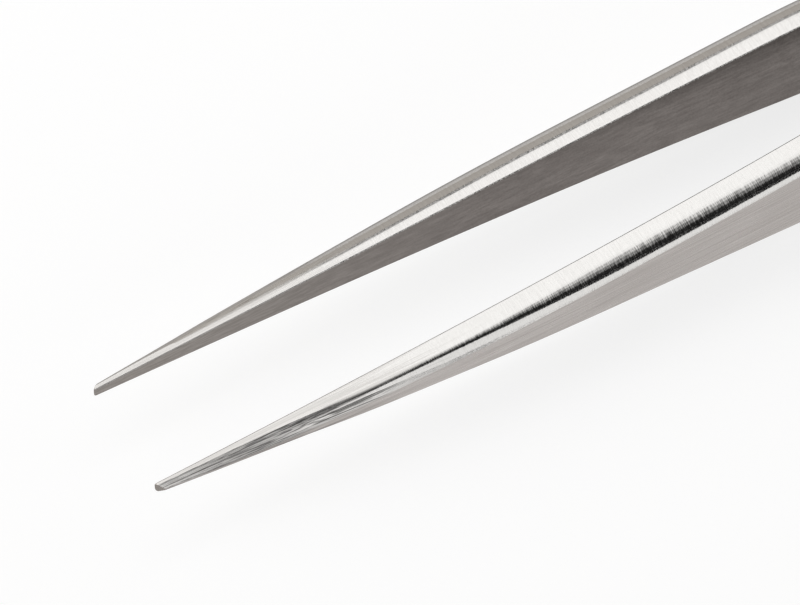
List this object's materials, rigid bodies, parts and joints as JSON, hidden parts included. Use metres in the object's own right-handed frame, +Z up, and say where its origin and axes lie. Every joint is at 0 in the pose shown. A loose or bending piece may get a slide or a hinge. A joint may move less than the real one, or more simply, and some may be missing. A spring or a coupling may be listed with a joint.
{
  "type": "precision tweezers",
  "caption": "Straight fine-point tweezers: two tapered, bevelled steel arms, sprung apart and spot welded at the heel.",
  "frame": {"origin": "middle of the bounding box's base: half way along the tweezers, between the arms, on the surface that their side edges lie on", "axes": "+X from the tips towards the heel, +Y from the left arm to the right arm, +Z up across the width of the arms"},
  "size_m": [0.13, 0.0144, 0.0097],
  "materials": {
    "arm_steel": "ground and brushed, satin",
    "heel_steel": "brushed, satin",
    "weld_steel": "dull, as welded"
  },
  "bodies": {
    "heel": {"left_heel": "heel_steel", "right_heel": "heel_steel", "front_spot_weld": "weld_steel", "rear_spot_weld": "weld_steel"},
    "left_arm": {"left_arm": "arm_steel"},
    "right_arm": {"right_arm": "arm_steel"}
  },
  "joints": [
    {"name": "left_flex", "type": "hinge", "parent": "heel", "child": "left_arm", "pos_m": [0.037, -0.00161, 0.00485], "axis": [0, 0, -1], "range_deg": [0, 2.63], "stiffness_Nm_per_rad": 4},
    {"name": "right_flex", "type": "hinge", "parent": "heel", "child": "right_arm", "pos_m": [0.037, 0.00161, 0.00485], "axis": [0, 0, 1], "range_deg": [0, 2.63], "stiffness_Nm_per_rad": 4}
  ]
}
